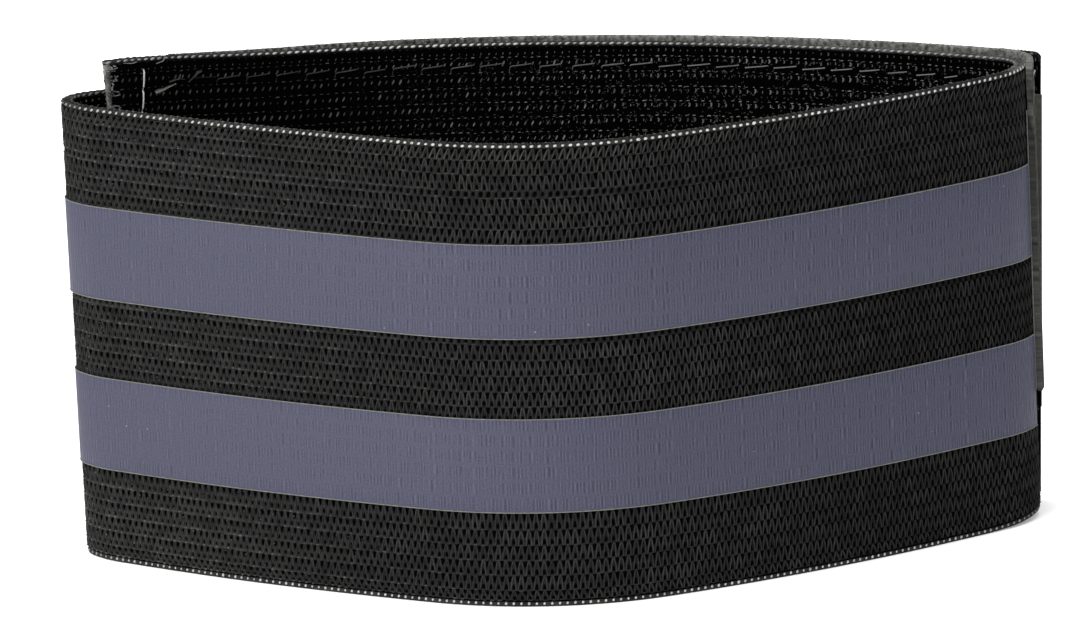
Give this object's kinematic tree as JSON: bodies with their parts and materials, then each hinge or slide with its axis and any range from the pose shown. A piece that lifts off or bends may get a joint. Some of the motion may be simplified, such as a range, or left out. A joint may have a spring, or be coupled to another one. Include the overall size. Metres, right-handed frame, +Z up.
{
  "type": "reflective armband",
  "caption": "Knitted elastic armband with reflective stripes, standing as a closed pointed oval, its overlapping ends held by a hook and loop closure.",
  "frame": {"origin": "on the surface the armband stands on, below the middle of its outline", "axes": "+X along the oval's long side, +Y towards the overlapped back, +Z up along the arm hollow"},
  "size_m": [0.105, 0.0462, 0.0536],
  "materials": {
    "knitted_elastic": "knitted, matt",
    "reflective_film": "glass-bead film, matt in plain light",
    "loop_pile": "brushed loops",
    "hook_pile": "moulded hooks",
    "sewing_thread": "twisted thread"
  },
  "bodies": {
    "root": {"elastic_band": "knitted_elastic", "reflective_stripe_lower": "reflective_film", "reflective_stripe_upper": "reflective_film", "loop_tape": "loop_pile", "hook_tape": "hook_pile"}
  },
  "joints": []
}
